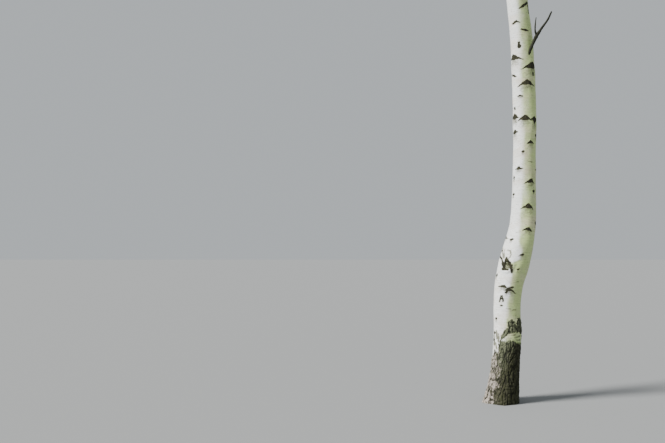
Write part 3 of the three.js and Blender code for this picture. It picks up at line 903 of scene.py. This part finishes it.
def trunk_piece(name, low, high, step, sides, scars, bark):
    """One length of trunk with its relief, closed at both ends."""
    rings = round((high - low) / step) + 1
    z = np.repeat(np.linspace(low, high, rings), sides)
    turn = np.tile(360 * np.arange(sides) / sides, rings)
    cx, cy, radius = trunk_at(z)
    radius = radius + flare_at(z, turn)
    a = np.radians(turn)
    x, y = radius * np.cos(a), radius * np.sin(a)
    # Marks are looked up at heights and ways that waver
    place = (
        z + waves(*WAVER_UP, x, y, z),
        turn + np.degrees(waves(*WAVER_ROUND, x, y, z + 9) / radius))
    scar, grey, bulge = scar_fields(*place, radius, scars)
    scar = np.maximum(scar, mark_field(*place, radius, MARKS))
    rough = rough_field(*place)
    # White bark is grey round scars, beside the rough bark and in the faint marks
    beside_rough = np.clip(1 + rough / ROUGH_LIMIT, 0, 1)
    grey = np.maximum(0.9 * grey, 0.55 * beside_rough)
    grey = np.maximum(grey, 0.5 + 0.7 * mark_field(*place, radius, FAINT_MARKS))
    # Damp side, with painted shade on the side away from the sun
    damp = damp_field(x, y, z, turn, beside_rough)
    relief = bulge + waves(*RIPPLE, x, y, z * 0.7) + waves(*SWELL, x, y, z * 0.35)
    cracks = np.ones(len(z))
    if np.any(beside_rough > 0):
        cracks = crack_field(x, y, z)
        plates = PLATE_DEPTH * (cracks**0.7 - 0.5) + waves(*PLATE_WAVES, x, y, z * 0.6)
        relief += np.clip(rough + 0.4, 0, 1) * plates
    if low < KNOT[0] < high:
        hollow, push = knot_fields(*place, radius)
        grey = np.maximum(grey, hollow)
        damp = np.maximum(damp, 1.4 * hollow - 0.2)
        scar = np.maximum(scar, 0.93 * hollow - 1)
        relief += push
    radius = radius + relief
    corners = np.stack((cx + radius * np.cos(a), cy + radius * np.sin(a), z), axis=-1)
    piece = mesh_piece(name, corners, tube_faces(1, rings, sides), [bark])
    piece.data.set_sharp_from_angle(angle=math.radians(75))
    start, span = YOUNG_TRUNK
    set_fields(
        piece, scar=scar, grey=grey, rough=rough, cracks=cracks, damp=damp,
        young=np.clip((start - radius) / span, 0, 1))
    return piece


class BIRCH_OT_trunk(Operator):
    """Build the trunk's bark: rough foot, white scarred stem and thin leader"""

    bl_idname = "birch.trunk"
    bl_label = "Trunk"

    def execute(self, context):
        look = context.scene.birch_trunk
        bark = shared("birch_bark", bark_material, look)
        scars = all_scars(look)
        for row in TRUNK_LENGTHS:
            piece = trunk_piece(*row, scars, bark)
            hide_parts("trunk")
        return {"FINISHED"}


# Limbs

class BIRCH_OT_boughs(Operator):
    """Build the boughs, each one tapering limb out to its tip"""

    bl_idname = "birch.boughs"
    bl_label = "Boughs"

    def execute(self, context):
        bark = shared("birch_bark", bark_material, context.scene.birch_trunk)
        start, span = YOUNG_BOUGH
        u = np.linspace(0, 1, BOUGH_POINTS) ** 1.25
        for i, plan in enumerate(map(limb_plan, range(BOUGHS))):
            thick = plan["radius"]
            path = limb_points(plan, u)
            from_bark = np.maximum(u * plan["reach"] - plan["trunk"], 0)
            collar = 1 + COLLAR * np.exp(-from_bark / (COLLAR_LENGTH * thick))
            girth = 1 + waves(*BOUGH_GIRTH, *(path.T + i))
            radii = (thick + (STEM_END_RADIUS - thick) * u**0.8) * collar * girth
            path[:, 2] += waves(BOUGH_COURSE[0] * np.sin(np.pi * u), BOUGH_COURSE[1], *(path.T - i))
            corners, faces = tubes(path[None], radii[None], BOUGH_SIDES)
            piece = mesh_piece(f"bough_{i + 1:02d}_bark", corners, faces, [bark])
            rings = np.sin(np.repeat(u, BOUGH_SIDES) * 70 + i) - 0.98
            set_fields(
                piece, young=np.clip((start - np.repeat(radii, BOUGH_SIDES)) / span, 0, 1),
                damp=0.4, rough=-ROUGH_LIMIT, cracks=1, grey=0, scar=np.clip(rings * 6, -1, 0.4))
            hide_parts(f"bough_{i + 1:02d}")
        return {"FINISHED"}


class BIRCH_OT_dead_limb(Operator):
    """Build the dead limb on the trunk's front, with its stub and broken end"""

    bl_idname = "birch.dead_limb"
    bl_label = "Dead Limb"

    def execute(self, context):
        wood = shared("dead_limb_bark", dead_wood_material, context.scene.birch_trunk)
        path, stub = smooth_path(SNAG_PATH, SNAG_POINTS), smooth_path(SNAG_STUB, STUB_POINTS)
        share = np.linspace(0, 1, SNAG_POINTS)
        # It swells at its foot and at the fork, and its end is broken off thin
        swell = 1 + 0.4 * np.exp(-share / 0.10) + 0.4 * np.exp(-(((share - 0.52) / 0.10) ** 2))
        radii = (SNAG_RADII[0] + (SNAG_RADII[1] - SNAG_RADII[0]) * share) * swell
        radii *= 1 + waves(*SNAG_GIRTH, *path.T)
        radii[-1] *= 0.35
        stub_radii = np.linspace(*STUB_RADII, STUB_POINTS) * (1 + waves(*STUB_GIRTH, *stub.T))
        corners, faces = joined(
            tubes(path[None], radii[None], SNAG_SIDES), tubes(stub[None], stub_radii[None], STUB_SIDES))
        piece = mesh_piece("dead_limb_wood", corners, faces, [wood])
        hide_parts("dead_limb")
        return {"FINISHED"}


# Foliage

def stem_paths():
    """The stem of each mass: the limb's path past its bare part, and an upright one on the leader's end."""
    u = np.linspace(BARE_SHARE, 1, STEM_POINTS)
    x, y, _ = (float(v) for v in trunk_at(TRUNK_TOP))
    leader = [(x, y, z) for z in np.linspace(TRUNK_TOP, TREE_HEIGHT - STEM_BELOW_TOP, STEM_POINTS)]
    return np.array([*(limb_points(limb_plan(i), u) for i in range(BOUGHS)), leader])


def inside_space(points, own, stems):
    """Whether points lie nearer their own stem than others, inside the crown and clear of the trunk."""
    z = points[..., 2]
    x, y, radius = trunk_at(z)
    from_leader = np.hypot(points[..., 0] - x, points[..., 1] - y)
    reach = crown_radius(np.maximum(z, LOWEST_BOUGH)) + OUTERMOST
    inside = (z > LOWEST_LEAF) & (z < TREE_HEIGHT) & (from_leader < reach)
    inside &= (z > TRUNK_TOP) | (from_leader > radius + LIMB_CLEARANCE)
    low, high = np.array(CAD_BOX)
    inside &= np.all((points > low - BOX_MARGIN) & (points < high + BOX_MARGIN), axis=-1)
    mine = nearest(points, stems[own])
    for k, stem in enumerate(stems):
        if k != own and nearest(stems[own].mean(axis=0), stem) < STEMS_APART:
            inside &= nearest(points, stem) > mine * CROSSING
    return inside


def starts_along(paths, shares):
    """Places and ways at shares of the length of each path: (path, share, 3)."""
    at = np.asarray(shares) * (paths.shape[1] - 1)
    k = np.clip(at.astype(int), 0, paths.shape[1] - 2)
    t = (at - k)[None, :, None]
    spots = paths[:, k] * (1 - t) + paths[:, k + 1] * t
    return spots, unit(paths[:, k + 1] - paths[:, k])


def branching(way, angle, roll):
    """Ways that leave others at an angle, rolled about them."""
    side = side_of(way)
    over = np.cross(way, side)
    out = side * np.cos(roll)[..., None] + over * np.sin(roll)[..., None]
    return unit(way * np.cos(angle)[..., None] + out * np.sin(angle)[..., None])


def on_two_sides(shape, angles, last, spread, draw):
    """Angles and rolls of what grows on twigs, on their two sides in turn. The last on each carries it on."""
    roll = np.where(np.arange(shape[1]) % 2, 0.0, np.pi) + draw.normal(0, spread, shape)
    angle = np.radians(draw.normal(*angles, shape))
    angle[:, -1] *= last
    return angle, roll


def drooping_paths(start, way, length, droop, segments, draw):
    """Paths that set off one way and bend down under their own weight, with small kinks at their buds."""
    points = [start]
    step = length[..., None] / segments
    for _ in range(segments):
        kink = draw.normal(0, KINK, start.shape)
        way = unit(way + kink + DOWN * droop[..., None] / segments)
        points.append(points[-1] + way * step)
    return np.stack(points, axis=-2).reshape(-1, segments + 1, 3)


def grow_mass(own, stems, crown, draw):
    """The side twigs of one mass, and the sprays on them."""
    stem = stems[own]
    top = own == BOUGHS
    limpness = LEADER_DROOP if top else 1
    # Twigs get smaller from the lowest limbs to the leader's end
    share_up = np.clip((stem[0, 2] - LOWEST_BOUGH) / (CROWN_TOP - LOWEST_BOUGH), 0, 1)
    scale = float(1 + (SMALLEST - 1) * share_up)
    limb = stem if top else limb_points(limb_plan(own), np.linspace(INNER_SHARE, 1, LIMB_POINTS))
    count = crown.twigs
    shares = np.linspace(*TWIG_STARTS, count)
    start, along = starts_along(limb[None], shares)
    roll = np.radians(SPIRAL * np.arange(count) + TWIG_ROLL * draw.random(count))
    angle = np.radians(TWIG_ANGLE - TWIG_ANGLE_FALL * shares + draw.normal(0, TWIG_ANGLE_SPREAD, count))
    length = scale * crown.twig_length * (1 - TWIG_FALL * shares) * draw.uniform(*TWIG_LENGTHS, count)
    droop = draw.uniform(*TWIG_DROOPS, count) * limpness
    twigs = drooping_paths(start, branching(along, angle, roll), length, droop, TWIG_SEGMENTS, draw)
    twigs = twigs[np.all(inside_space(twigs[:, 2:], own, stems), axis=1)]
    length, droop = np.array([[END_TWIG[0] * scale], [END_TWIG[1]]])
    ends = drooping_paths(stem[-1:], unit(stem[-1:] - stem[-2:-1]), length, droop, TWIG_SEGMENTS, draw)
    twigs = np.concatenate((twigs, ends))

    shape = (len(twigs), crown.sprays)
    shares = np.linspace(*SPRAY_STARTS, crown.sprays)
    start, along = starts_along(twigs, shares)
    angle, roll = on_two_sides(shape, SPRAY_ANGLE, LAST_SPRAY, SPRAY_ROLL, draw)
    length = scale * crown.spray_length * draw.uniform(*SPRAY_LENGTHS, shape) * (1 - SPRAY_FALL * shares)
    droop = draw.uniform(*SPRAY_DROOPS, shape) * limpness
    sprays = drooping_paths(start, branching(along, angle, roll), length, droop, SPRAY_SEGMENTS, draw)
    return twigs, sprays[np.all(inside_space(sprays[:, 1:], own, stems), axis=1)]


def leaf_places(paths, per_path, first, draw):
    """Roots, stalk ways and blade ways of the leaves on twigs."""
    root, along = starts_along(paths, np.linspace(first, 1.0, per_path))
    shape = root.shape[:2]
    angle, roll = on_two_sides(shape, LEAF_ANGLE, LAST_LEAF, LEAF_ROLL, draw)
    stalk = unit(branching(along, angle, roll) + DOWN * STALK_DROOP)
    blade = unit(stalk + DOWN * draw.uniform(*BLADE_DROOPS, shape)[..., None])
    return root.reshape(-1, 3), stalk.reshape(-1, 3), blade.reshape(-1, 3)


def leaf_mesh(root, stalk, blade, size, draw):
    """Corners and triangles of many leaves: a stalk, and a blade folded along its midrib."""
    face = unit(draw.normal(0, 1, root.shape) * np.array((1.0, 1.0, 0.8)))
    side = unit(np.cross(blade, face))
    normal = np.cross(side, blade)
    stalk_half = side * (STALK_WIDTH * size)[:, None]
    base = root + stalk * (STALK * size)[:, None]

    def spot(x, y, z):
        return base + (side * x + blade * y + normal * z) * size[:, None]

    corners = [root + stalk_half, root - stalk_half, base, spot(0, BLADE_MIDDLE, -0.01), spot(0, 1.0, -0.10)]
    foot, middle, tip, right, left = 2, 3, 4, 5, 5 + BLADE_SIDES
    for hand in (1, -1):
        corners += [spot(hand * x, y, BLADE_CUP * x) for x, y in BLADE_HALF]
    triangles = [(0, foot, 1)]
    for first in (right, left):
        edge = [foot, *range(first, first + BLADE_SIDES), tip]
        for a, b in zip(edge, edge[1:]):
            triangles.append((a, b, middle) if first == right else (b, a, middle))
    starts = len(corners) * np.arange(len(root))[:, None, None]
    return np.stack(corners, axis=1).reshape(-1, 3), (np.array(triangles) + starts).reshape(-1, 3).tolist()


def foliage_pieces(tier, masses, stems, crown, materials, draw):
    """The twigs and the leaves of neighbouring masses, each kind joined into one piece."""
    grown, leaves = [], []
    lime, yellow, green, dark = range(len(LEAF_TINTS))
    for own in masses:
        twigs, sprays = grow_mass(own, stems, crown, draw)
        grown.append((twigs, sprays))
        # Sprays near the limb are dark, and chance gives the others their tint
        chance = draw.random(len(sprays))
        out = nearest(sprays[:, -1], stems[own])
        tint = np.select([chance + out < 0.45, chance < 0.55, chance < 0.80], [dark, lime, green], yellow)
        for paths, per_path, first, tints in (
                (sprays, crown.leaves, FIRST_ON_SPRAY, tint),
                (twigs, LEAVES_ON_TWIG, FIRST_ON_TWIG, draw.integers(lime, dark, len(twigs)))):
            root, stalk, blade = leaf_places(paths, per_path, first, draw)
            size = crown.blade * draw.uniform(*LEAF_SIZES, len(root))
            kept = inside_space(root + blade * size[:, None], own, stems)
            kept &= draw.random(len(root)) < LEAVES_KEPT
            stray = draw.random(len(root)) < STRAY_TINTS
            chosen = np.where(stray, draw.integers(0, len(LEAF_TINTS), len(root)), np.repeat(tints, per_path))
            leaves.append([values[kept] for values in (root, stalk, blade, size, chosen)])
    *leaf, chosen = (np.concatenate(part) for part in zip(*leaves))
    twigs, sprays = (np.concatenate(part) for part in zip(*grown))
    corners, triangles = leaf_mesh(*leaf, draw)
    leaf_piece = mesh_piece(f"leaves_{tier}", corners, triangles, materials["leaves"], smooth=False)
    wood = [
        tubes(twigs, np.linspace(*TWIG_RADII, TWIG_SEGMENTS + 1)[None], TWIG_SIDES),
        tubes(sprays, np.linspace(*SPRAY_RADII, SPRAY_SEGMENTS + 1)[None], SPRAY_SIDES)]
    twig_piece = mesh_piece(f"twigs_{tier}", *joined(*wood), materials["twigs"])
    nodes = [FOLIAGE_NODES[m] if m < BOUGHS else "foliage_top" for m in masses]
    for piece, used in (
            (leaf_piece, np.repeat(chosen, LEAF_TRIANGLES)),
            (twig_piece, np.repeat((0, 1), [len(faces) for _, faces in wood]))):
        piece.data.polygons.foreach_set("material_index", used.astype(np.int32))
        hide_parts(*nodes)


class BIRCH_OT_foliage(Operator):
    """Build the twigs and leaves, which grow on from the boughs by the same rule as the part's solids"""

    bl_idname = "birch.foliage"
    bl_label = "Foliage"

    def execute(self, context):
        crown = context.scene.birch_crown
        draw = np.random.default_rng(crown.seed)
        materials = {
            "leaves": [
                plain(f"birch_leaf_{tint}", getattr(crown, tint), *gloss)
                for tint, gloss in LEAF_TINTS.items()],
            "twigs": [plain(f"birch_{kind}", getattr(crown, kind), 0.6, 0.4) for kind in ("twig", "shoot")],
        }
        stems = stem_paths()
        for tier, masses in enumerate(np.split(np.arange(BOUGHS + 1), TIERS), 1):
            foliage_pieces(tier, masses.tolist(), stems, crown, materials, draw)
        return {"FINISHED"}


class BIRCH_OT_stage(Operator):
    """Set out the plain floor, the soft light and the camera at the photograph's angle"""

    bl_idname = "birch.stage"
    bl_label = "Stage"

    def execute(self, context):
        stage = context.scene.birch_stage
        mesh = bpy.data.meshes.new("floor")
        corners = [(x * FLOOR_HALF, y * FLOOR_HALF, 0) for x, y in ((-1, -1), (1, -1), (1, 1), (-1, 1))]
        mesh.from_pydata(corners, [], [(0, 1, 2, 3)])
        mesh.materials.append(plain("floor", stage.floor, 0.9, 0.1))
        floor = placed("floor", mesh)

        world = bpy.data.worlds.new("soft_sky")
        world.use_nodes = True
        feed(world.node_tree.nodes["Background"].inputs, {"Color": stage.sky, "Strength": 1.0})
        context.scene.world = world

        sun = bpy.data.lights.new("sun", "SUN")
        sun.energy = stage.sun
        sun.angle = math.radians(SUN_ANGLE)
        sun.color = SUNLIGHT
        placed("sun", sun).rotation_euler = [math.radians(v) for v in SUN_TURN]

        lens = bpy.data.cameras.new("camera")
        lens.lens = stage.lens
        lens.sensor_width = 36
        lens.clip_end = 500
        camera = placed("camera", lens)
        camera.location = stage.eye
        camera.rotation_euler = (math.pi / 2 + stage.tilt, 0, 0)
        context.scene.camera = camera
        return {"FINISHED"}


class BIRCH_PT_panel(Panel):
    """Buttons and settings for the birch"""

    bl_label = "Young Silver Birch"
    bl_space_type = "VIEW_3D"
    bl_region_type = "UI"
    bl_category = "Birch"

    def draw(self, context):
        for operator, settings in (
                (BIRCH_OT_stage, context.scene.birch_stage),
                (BIRCH_OT_trunk, context.scene.birch_trunk),
                (BIRCH_OT_boughs, None),
                (BIRCH_OT_dead_limb, None),
                (BIRCH_OT_foliage, context.scene.birch_crown)):
            box = self.layout.box()
            box.operator(operator.bl_idname)
            for name in (settings.__annotations__ if settings else ()):
                box.prop(settings, name)


SETTINGS = {"birch_trunk": TrunkSettings, "birch_crown": CrownSettings, "birch_stage": StageSettings}
CLASSES = (
    *SETTINGS.values(),
    BIRCH_OT_stage,
    BIRCH_OT_trunk,
    BIRCH_OT_boughs,
    BIRCH_OT_dead_limb,
    BIRCH_OT_foliage,
    BIRCH_PT_panel,
)


def register():
    for cls in CLASSES:
        bpy.utils.register_class(cls)
    for name, settings in SETTINGS.items():
        setattr(bpy.types.Scene, name, PointerProperty(type=settings))


def unregister():
    for name in SETTINGS:
        delattr(bpy.types.Scene, name)
    for cls in reversed(CLASSES):
        bpy.utils.unregister_class(cls)


def main():
    register()
    bpy.ops.birch.stage()
    bpy.ops.birch.trunk()
    bpy.ops.birch.boughs()
    bpy.ops.birch.dead_limb()
    bpy.ops.birch.foliage()


if __name__ == "__main__":
    main()
